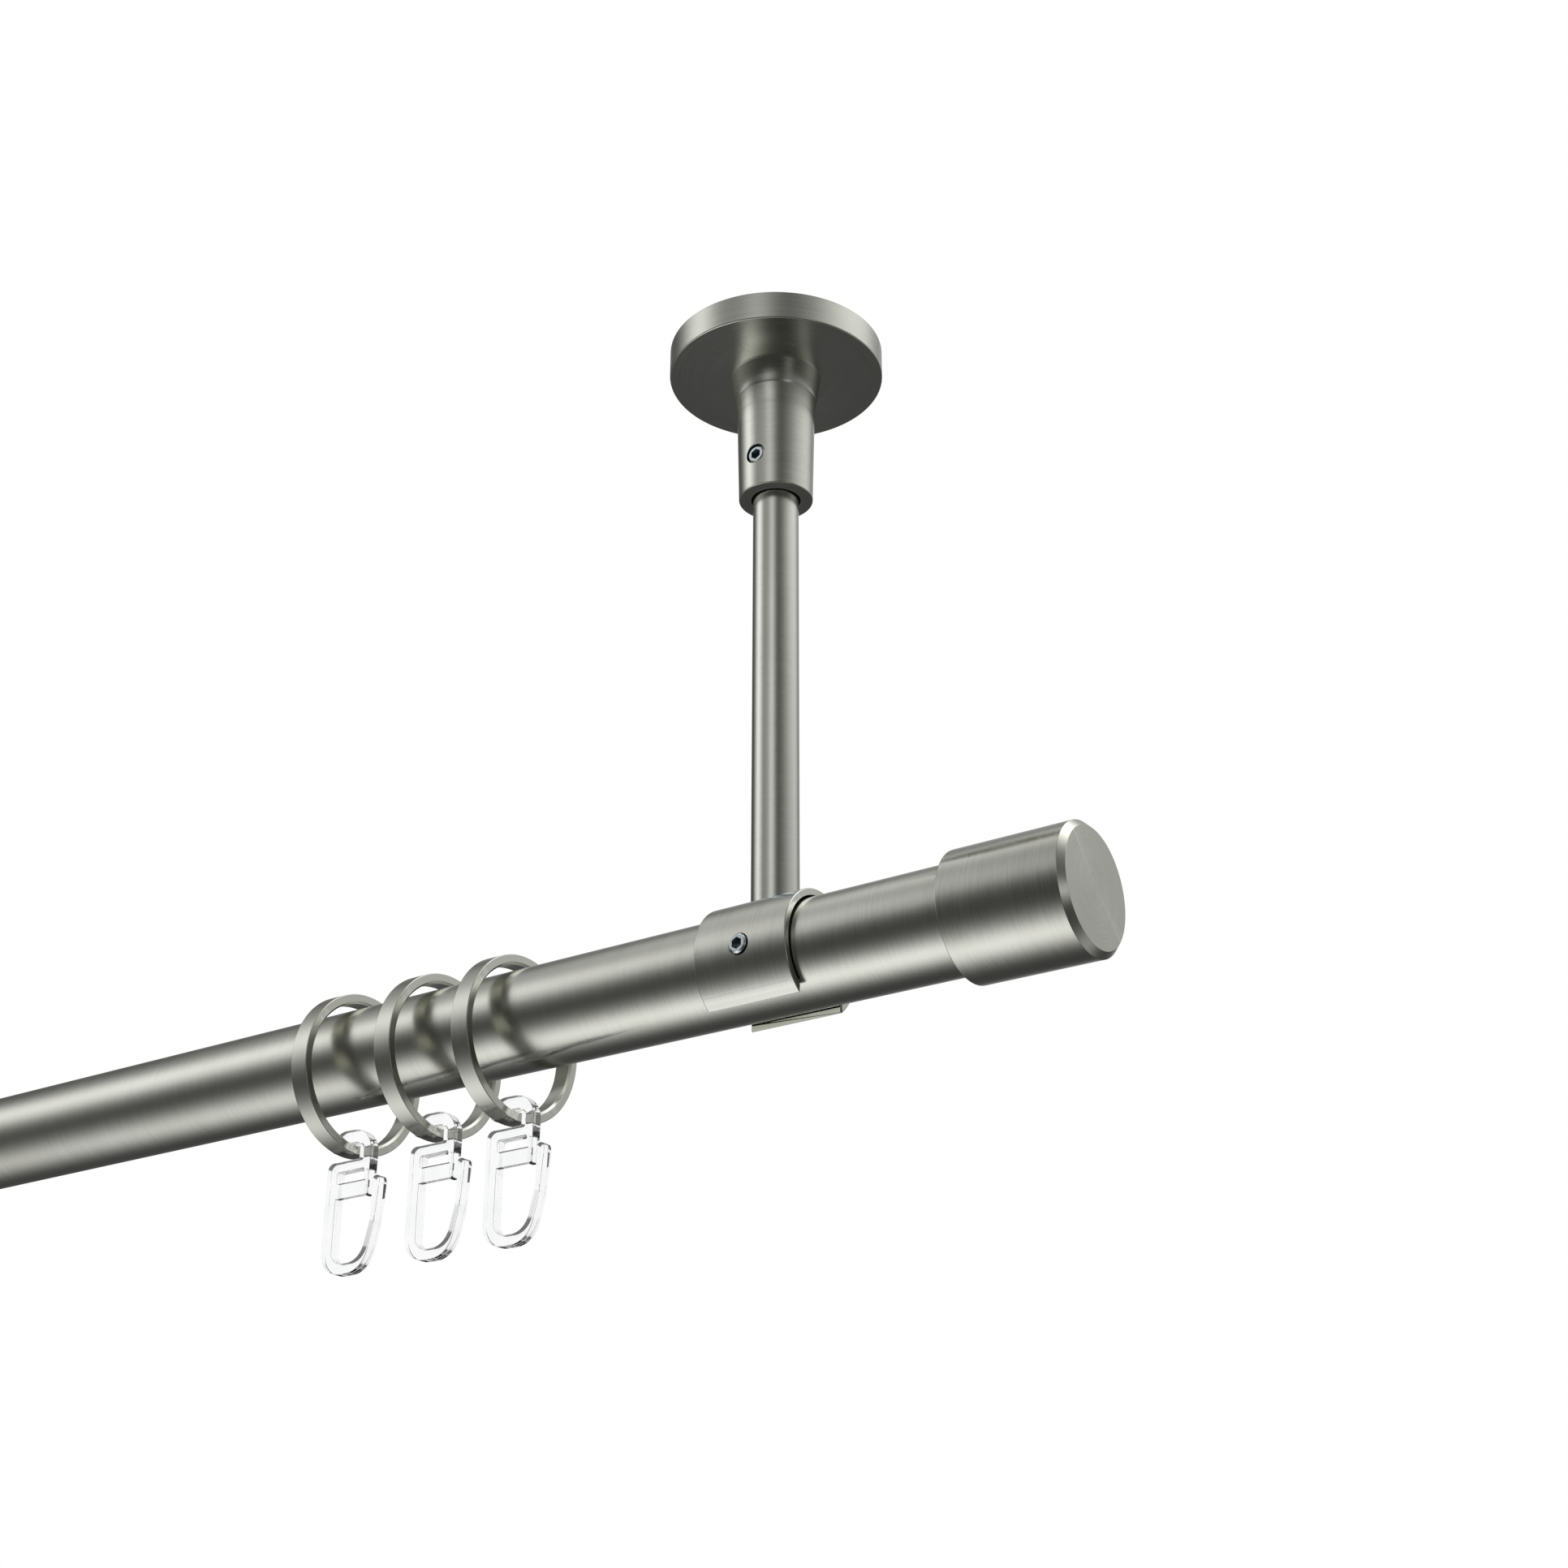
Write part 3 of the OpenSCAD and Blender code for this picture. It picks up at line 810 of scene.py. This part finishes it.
def brushed_steel(name, axis, centre_z=0.0, rough=0.19, lines=0.75, anisotropic=0.55, line_scale=LINE_SCALE,
                  seed=0.0):
    """Satin steel with fine broken lines turned round its axis, a cloudy tone and faint marks."""
    material, graph, shader = new_material(name)
    *turned_place, round_way = turned_coordinates(graph, axis, centre_z)
    kinds = (FINE_LINES, DASHES, BROAD_LINES)
    fine, dashes, broad = (line_noise(graph, turned_place, line_scale, seed, kind) for kind in kinds)
    grain = graph.math("ADD", graph.math("MULTIPLY", fine, FINE_SHARE),
                       graph.math("MULTIPLY", broad, 1 - FINE_SHARE))
    cloud = graph.noise(graph.object_place(), STEEL_CLOUD, detail=3.0)
    specks = graph.noise(graph.object_place(), STEEL_MARKS, detail=4.0, rough=0.7)
    marks = graph.range(specks, *MARK_LIMITS, 0, 1)
    height = graph.math("MULTIPLY_ADD", marks, -MARK_DEPTH, grain)
    normal = swung_normal(graph, dashes, round_way, lines)
    relief(graph, shader, height, strength=STEEL_BUMP * lines, distance=0.01, normal=normal)
    tangent = graph.node("ShaderNodeTangent", direction_type="RADIAL", axis=axis)
    graph.feed(shader.inputs["Base Color"], steel_colour(graph, grain, cloud, lines))
    graph.feed(shader.inputs["Roughness"], steel_roughness(graph, grain, cloud, marks, rough, lines))
    graph.feed(shader.inputs["Tangent"], tangent.outputs[0])
    shader.inputs["Metallic"].default_value = 1
    shader.inputs["Anisotropic"].default_value = anisotropic
    shader.inputs["Anisotropic Rotation"].default_value = QUARTER_TURN
    return material


def zinc(name, tint=ZINC_TINT):
    """Bright plating with faint mottling and a painted highlight on raised edges."""
    material, graph, shader = new_material(name)
    mottle = graph.noise(graph.object_place(), ZINC_MOTTLE, detail=3.0)
    grain = graph.noise(graph.object_place(), ZINC_GRAIN, detail=3.0, rough=0.6)
    colour = mottled(graph, mottle, [c * ZINC_DARKEN for c in tint], tint)
    graph.feed(shader.inputs["Base Color"], edge_highlight(graph, colour, ZINC_HIGHLIGHT_SHARE, ZINC_EDGE_HIGHLIGHT))
    graph.feed(shader.inputs["Roughness"], graph.range(mottle, *WIDE, *ZINC_ROUGH))
    relief(graph, shader, grain, strength=0.15, distance=0.02)
    shader.inputs["Metallic"].default_value = 1
    return material


def threaded_zinc(name):
    """Zinc with the ridges of a thread along Z."""
    material, graph, shader = new_material(name)
    ridge = graph.math("PINGPONG", graph.separate(graph.object_place())[2], THREAD_PITCH / 2)
    mottle = graph.noise(graph.object_place(), ZINC_MOTTLE, detail=3.0)
    graph.feed(shader.inputs["Base Color"], mottled(graph, mottle, *THREAD_TINTS))
    graph.feed(shader.inputs["Roughness"], graph.range(mottle, *WIDE, *THREAD_ROUGH))
    height = graph.math("DIVIDE", ridge, THREAD_PITCH / 2)
    relief(graph, shader, height, strength=0.9, distance=0.4)
    shader.inputs["Metallic"].default_value = 1
    return material


def clear_plastic(name):
    """Clear moulded plastic with faint flow marks."""
    material, graph, shader = new_material(name)
    flow = graph.noise(graph.object_place(), HOOK_FLOW, detail=2.0)
    graph.feed(shader.inputs["Base Color"], mottled(graph, flow, *HOOK_TINTS))
    graph.feed(shader.inputs["Transmission Weight"], graph.range(flow, *WIDE, *HOOK_CLEARNESS))
    shader.inputs["Roughness"].default_value = 0
    shader.inputs["IOR"].default_value = HOOK_IOR
    return material


def black_plastic(name):
    """Matt black plastic with a fine moulded grain."""
    material, graph, shader = new_material(name)
    grain = graph.noise(graph.object_place(), BLACK_GRAIN, detail=3.0, rough=0.6)
    cloud = graph.noise(graph.object_place(), BLACK_CLOUD, detail=2.0)
    graph.feed(shader.inputs["Base Color"], mottled(graph, cloud, *BLACK_TINTS))
    graph.feed(shader.inputs["Roughness"], graph.range(grain, *WIDE, *BLACK_ROUGH))
    relief(graph, shader, grain, strength=0.3, distance=0.04)
    return material


def floor_paint(name):
    """Pale matt floor with a very faint mottle."""
    material, graph, shader = new_material(name)
    cloud = graph.noise(graph.object_place(), FLOOR_CLOUD, detail=4.0)
    graph.feed(shader.inputs["Base Color"], mottled(graph, cloud, *FLOOR_TINTS, limits=WIDE))
    shader.inputs["Roughness"].default_value = FLOOR_ROUGH
    return material


STEEL_Z = brushed_steel("steel_turned_z", "Z")
DISC_STEEL = brushed_steel("disc_steel", "Z", rough=0.24, anisotropic=0.3, seed=23.0)
STEEL_X = brushed_steel("steel_turned_x", "X", ROD_Z, seed=3.0)
TUBE_STEEL = brushed_steel("tube_steel", "X", ROD_Z, lines=0.6, seed=7.0)
CAP_STEEL = brushed_steel("cap_steel", "X", ROD_Z, line_scale=3800, seed=11.0)
RING_STEEL = brushed_steel("ring_steel", "X", RING_Z, rough=0.2, lines=0.35, seed=17.0)
ZINC = zinc("zinc")
# Dark zinc for the inside of the screw sockets, painted as shade
SOCKET_SHADE = zinc("socket_painted_shade", SOCKET_SHADE_TINT)
PLATE_ZINC = zinc("plate_zinc", PLATE_TINT)
THREAD = threaded_zinc("threaded_zinc")
CLEAR = clear_plastic("clear_plastic")
BLACK = black_plastic("black_plastic")


def carry_over(node, material):
    """Keeps a CAD node's own shape, with this material."""
    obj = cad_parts[node]
    obj.data.materials.clear()
    obj.data.materials.append(material)


def build():
    make_tube()
    for side in SIDES:
        make_disc(side)
        make_collar(side)
        make_drop_rod(side)
        make_clamp(side)
        make_cap(side)
        make_set_screw("collar", side)
        make_set_screw("clamp", side)
        carry_over(f"mounting_plate_{side}", PLATE_ZINC)
        carry_over(f"threaded_stud_{side}", THREAD)
        carry_over(f"drop_rod_screw_{side}", ZINC)
        carry_over(f"cap_insert_{side}", BLACK)
    make_rings()
    make_hooks()


# ---------------------------------------------------------------- studio
FLOOR_Z = -1.25
FLOOR_HALF = 60
AMBIENT = 0.06
# Soft lights all round: azimuth from the front towards +X, elevation, strength, spread; angles in degrees
LIGHTS = {
    "key": (-57, 30, 1.2, 20),
    "front": (14, 25, 0.8, 16),
    "front_fill": (-14, 28, 0.25, 12),
    "top_right": (130, 62, 1.9, 24),
    "right_back": (147, 22, 0.32, 20),
    "side_fill": (110, 35, 0.35, 35),
    "side_low": (66, -4, 0.65, 11),
    "low_right": (132, -37, 0.35, 20),
    "overhead": (-90, 72, 0.8, 20),
    "back": (-155, 25, 0.55, 20),
    "below": (-68, -58, 1.25, 25),
}
# What shows through clear plastic: white at the heights of the ray between these two bands,
# and darker towards straight up and straight down
CLEAR_TOP = (0.68, 0.88)
CLEAR_FOOT = (-0.3, -0.05)
CLEAR_DARK = 0.15


def direction(azimuth, elevation):
    """Unit vector towards a light."""
    a, e = math.radians(azimuth), math.radians(elevation)
    return (math.sin(a) * math.cos(e), -math.cos(a) * math.cos(e), math.sin(e))


def soft_light(graph, ray, azimuth, elevation, strength, spread):
    """Brightness of the surround from one light, strongest towards it and softer further away."""
    facing = graph.vector("DOT_PRODUCT", ray, direction(azimuth, elevation))
    sharp = 2 / math.radians(spread) ** 2
    fall = graph.math("EXPONENT", graph.math("MULTIPLY_ADD", facing, sharp, -sharp))
    return graph.math("MULTIPLY", fall, strength)


def background(graph, strength):
    """A white background of this strength."""
    made = graph.node("ShaderNodeBackground")
    graph.feed(made.inputs["Color"], (1, 1, 1, 1))
    graph.feed(made.inputs["Strength"], strength)
    return made.outputs[0]


def make_world():
    """Soft lights on a dim surround. The camera sees plain white behind the object."""
    world = bpy.data.worlds.new("studio")
    bpy.context.scene.world = world
    world.use_nodes = True
    graph = Graph(world.node_tree)
    ray = graph.node("ShaderNodeTexCoord").outputs["Generated"]
    level = AMBIENT
    for light in LIGHTS.values():
        level = graph.math("ADD", soft_light(graph, ray, *light), level)
    height = graph.separate(ray)[2]
    through = graph.math("MULTIPLY", graph.range(height, *CLEAR_TOP, 1, CLEAR_DARK),
                         graph.range(height, *CLEAR_FOOT, CLEAR_DARK, 1))
    lit, clear, backdrop = (background(graph, strength) for strength in (level, through, 1.0))
    path = graph.node("ShaderNodeLightPath")
    shown = graph.mix_shader(path.outputs["Is Transmission Ray"], lit, clear)
    shown = graph.mix_shader(path.outputs["Is Camera Ray"], shown, backdrop)
    graph.feed(graph.node("ShaderNodeOutputWorld").inputs["Surface"], shown)


def make_floor():
    """A wide pale floor that stays out of mirror reflections and of what shows through the hooks."""
    signs = ((-1, -1), (1, -1), (1, 1), (-1, 1))
    corners = [(x * FLOOR_HALF, y * FLOOR_HALF, FLOOR_Z) for x, y in signs]
    floor = add_mesh("floor", corners, [[0, 1, 2, 3]])
    floor.data.materials.append(floor_paint("floor_paint"))
    floor.visible_glossy = False
    floor.visible_transmission = False


# The camera's place from the top of the right bracket, m, and where its right and up point
CAMERA_FROM_BRACKET = Vector((0.22306, -0.32894, -0.27788))
CAMERA_RIGHT = Vector((0.8298, 0.5580, -0.0002))
CAMERA_UP = Vector((0.23236, -0.34516, 0.90933))
CAMERA_LENS = 53.72
CAMERA_CLIP_START = 0.01


def make_camera():
    data = bpy.data.cameras.new("camera")
    data.lens = CAMERA_LENS
    data.clip_start = CAMERA_CLIP_START
    camera = bpy.data.objects.new("camera", data)
    bpy.context.scene.collection.objects.link(camera)
    back = CAMERA_RIGHT.cross(CAMERA_UP)
    up = back.cross(CAMERA_RIGHT)
    turn = Matrix((CAMERA_RIGHT.normalized(), up.normalized(), back.normalized())).transposed().to_4x4()
    camera.matrix_world = Matrix.Translation(Vector((BRACKET_X, 0, 0)) + CAMERA_FROM_BRACKET) @ turn
    bpy.context.scene.camera = camera


build()
make_world()
make_floor()
make_camera()
bpy.context.scene.view_settings.view_transform = "Standard"
